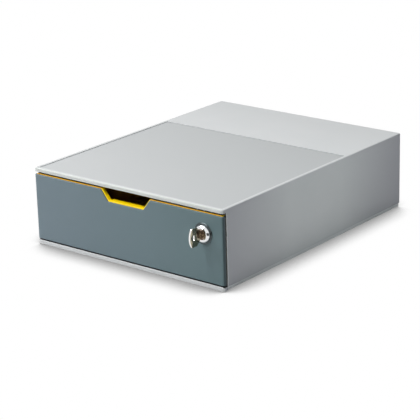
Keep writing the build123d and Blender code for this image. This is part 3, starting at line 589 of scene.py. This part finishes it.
# %% Whole key
def modelled_key():
    """All parts joined, with a narrow bevel on every edge."""
    key = key_bow()
    shoulder = slab((-KEY_HALF, -8.0, -SHOULDER_HALF), (KEY_HALF, SHOULDER_Y, SHOULDER_HALF))
    join(key, shoulder, "UNION")
    join(key, key_blade(), "UNION")
    use(key, "BEVEL", width=0.22 * MM, segments=2, limit_method="ANGLE", angle_limit=math.radians(40))
    return key


FACE_FROM, FACE_TO = 0.9, 0.98             # a broad face starts between these, from the key's middle


def key_finish():
    """Near white on the edges as a painted highlight, a darker olive on the two broad faces as a painted
    reflection.
    """
    recipe = Recipe("key_steel")
    cloud = recipe.noise(1.5, detail=3)
    # Painted: a highlight on the edges, a reflection on the broad faces.
    face = recipe.math("ADD", recipe.ramp("X", LOCK_X + FACE_FROM, LOCK_X + FACE_TO),
                       recipe.ramp("X", LOCK_X - FACE_FROM, LOCK_X - FACE_TO))
    broad = recipe.blend(recipe.span(cloud, 0, 1), srgb(150, 144, 122), srgb(176, 170, 150))
    lines = recipe.noise(0.25, detail=2, stretch=(1, 1, 0.06))
    recipe.surface(Base_Color=recipe.blend(face, srgb(244, 243, 240), broad), Metallic=1.0,
                   Roughness=recipe.span(cloud, 0.1, 0.2), Normal=recipe.bump(lines, 0.002))
    return recipe.material


key = finished(modelled_key(), "stamped_key", key_finish())
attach(key, "key")
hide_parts("key")

# %% [markdown]
# The floor is a wide white sheet that has to end up pure white, with only a soft shade round the box.
# Lamps alone can't do that and also light the box well, so the floor shades itself: for every point it
# asks how much of the sky over it is hidden by the box, and turns that into a brightness. Rays that
# bounce off it on their way to the box find a plain light grey sheet.

# %% Floor
FLOOR_SIDE = 8.0
SHADE_REACH = 60 * MM      # how far the soft shade round the box reaches
SHADE_SPAN = (0.50, 0.77, 0.36, 1.0)       # open sky from and to, brightness from and to
SHEET_GREY = 0.8


def light_path_mix(tree, names):
    """1 where the ray is one of the named kinds, else 0."""
    path = tree.nodes.new("ShaderNodeLightPath")
    total = None
    for name in names:
        if total is None:
            total = path.outputs[name]
            continue
        node = tree.nodes.new("ShaderNodeMath")
        node.operation = "MAXIMUM"
        tree.links.new(total, node.inputs[0])
        tree.links.new(path.outputs[name], node.inputs[1])
        total = node.outputs[0]
    return total


def floor():
    """The sheet, and the material that looks different to the camera than to the light."""
    bpy.ops.mesh.primitive_plane_add(size=FLOOR_SIDE)
    sheet = bpy.context.object
    sheet.name = "floor_sheet"
    material = bpy.data.materials.new("floor_white")
    material.use_nodes = True
    tree = material.node_tree
    tree.nodes.remove(tree.nodes["Principled BSDF"])
    diffuse = tree.nodes.new("ShaderNodeBsdfDiffuse")
    diffuse.inputs["Color"].default_value = (SHEET_GREY, SHEET_GREY, SHEET_GREY, 1)
    corner = tree.nodes.new("ShaderNodeAmbientOcclusion")
    corner.samples = 16
    corner.inputs["Distance"].default_value = SHADE_REACH
    shade = tree.nodes.new("ShaderNodeMapRange")
    tree.links.new(corner.outputs["AO"], shade.inputs["Value"])
    for name, number in zip(("From Min", "From Max", "To Min", "To Max"), SHADE_SPAN):
        shade.inputs[name].default_value = number
    glow = tree.nodes.new("ShaderNodeEmission")
    tree.links.new(shade.outputs["Result"], glow.inputs["Strength"])
    mix = tree.nodes.new("ShaderNodeMixShader")
    tree.links.new(light_path_mix(tree, ("Is Camera Ray", "Is Glossy Ray")), mix.inputs[0])
    tree.links.new(diffuse.outputs[0], mix.inputs[1])
    tree.links.new(glow.outputs[0], mix.inputs[2])
    tree.links.new(mix.outputs[0], tree.nodes["Material Output"].inputs["Surface"])
    sheet.data.materials.append(material)
    print("floor", FLOOR_SIDE, "m wide")


floor()

# %% [markdown]
# The world is white where the camera or polished metal looks at it. As a light it is nearly off, because
# an even light from all round would flatten the box.

# %% World
AMBIENT = 0.015


def world():
    """White to look at, and almost dark as a light."""
    room = bpy.data.worlds.new("room")
    bpy.context.scene.world = room
    room.use_nodes = True
    tree = room.node_tree
    seen = light_path_mix(tree, ("Is Camera Ray", "Is Glossy Ray", "Is Transmission Ray"))
    background = tree.nodes["Background"]
    background.inputs["Color"].default_value = (1, 1, 1, 1)
    strength = tree.nodes.new("ShaderNodeMapRange")
    strength.inputs["To Min"].default_value = AMBIENT
    strength.inputs["To Max"].default_value = 1.0
    tree.links.new(seen, strength.inputs["Value"])
    tree.links.new(strength.outputs["Result"], background.inputs["Strength"])


world()

# %% [markdown]
# Large square lamps, as a photographer's soft boxes, give wide soft highlights. All four stand high. Two
# come from the front and the left and light the drawer's front, two from above and behind add to the top,
# and the right side has only a small weak lamp close by, which fades towards both ends.

# %% Lamps
MIDDLE = (0, 0, 0.05)


def soft_box(name, spot, side, watts, colour=(1, 1, 1)):
    """A square lamp that faces the middle of the box."""
    data = bpy.data.lights.new(name, "AREA")
    data.shape = "SQUARE"
    data.size = side
    data.energy = watts
    data.color = colour
    lamp = bpy.data.objects.new(name, data)
    bpy.context.collection.objects.link(lamp)
    lamp.location = spot
    lamp.rotation_euler = (Vector(MIDDLE) - Vector(spot)).to_track_quat("-Z", "Y").to_euler()
    print(name, watts, "W")


soft_box("overhead_box", (-0.36, -0.1, 1.36), 0.8, 3.2)
soft_box("rear_box", (-0.35, 0.48, 1.3), 0.8, 4.8)
soft_box("front_box", (-0.2, -0.85, 1.25), 0.5, 9.4)
soft_box("left_box", (-0.75, -0.65, 1.05), 0.5, 6.2)
soft_box("right_box", (0.42, 0.02, 0.22), 0.2, 0.26, (0.9, 0.98, 1.0))


# %% [markdown]
# Chrome needs something dark to reflect, or it looks like white plastic. Two black cards stand in front of
# the lock, a little to its right. Only mirrors see them: they cast no shade and the camera misses them.

# %% Dark cards
LOCK = (0.1125, -0.166, 0.0635)


def dark_card(name, spot, wide, high):
    """A black card that only mirrors see, which gives polished metal something dark to reflect."""
    bpy.ops.mesh.primitive_plane_add(size=1)
    card = bpy.context.object
    card.name = name
    card.scale = (wide, high, 1)
    card.location = spot
    card.rotation_euler = (Vector(LOCK) - Vector(spot)).to_track_quat("Z", "Y").to_euler()
    for rays in ("camera", "diffuse", "transmission", "volume_scatter", "shadow"):
        setattr(card, f"visible_{rays}", False)
    material = bpy.data.materials.new(name)
    material.use_nodes = True
    material.node_tree.nodes["Principled BSDF"].inputs["Base Color"].default_value = (0.01, 0.01, 0.01, 1)
    card.data.materials.append(material)
    print(name, wide, "x", high, "m")


dark_card("right_card", (0.27, -0.25, 0.05), 0.2, 0.09)
dark_card("low_card", (0.2, -0.33, 0.04), 0.16, 0.06)

bpy.context.scene.view_settings.view_transform = "Standard"
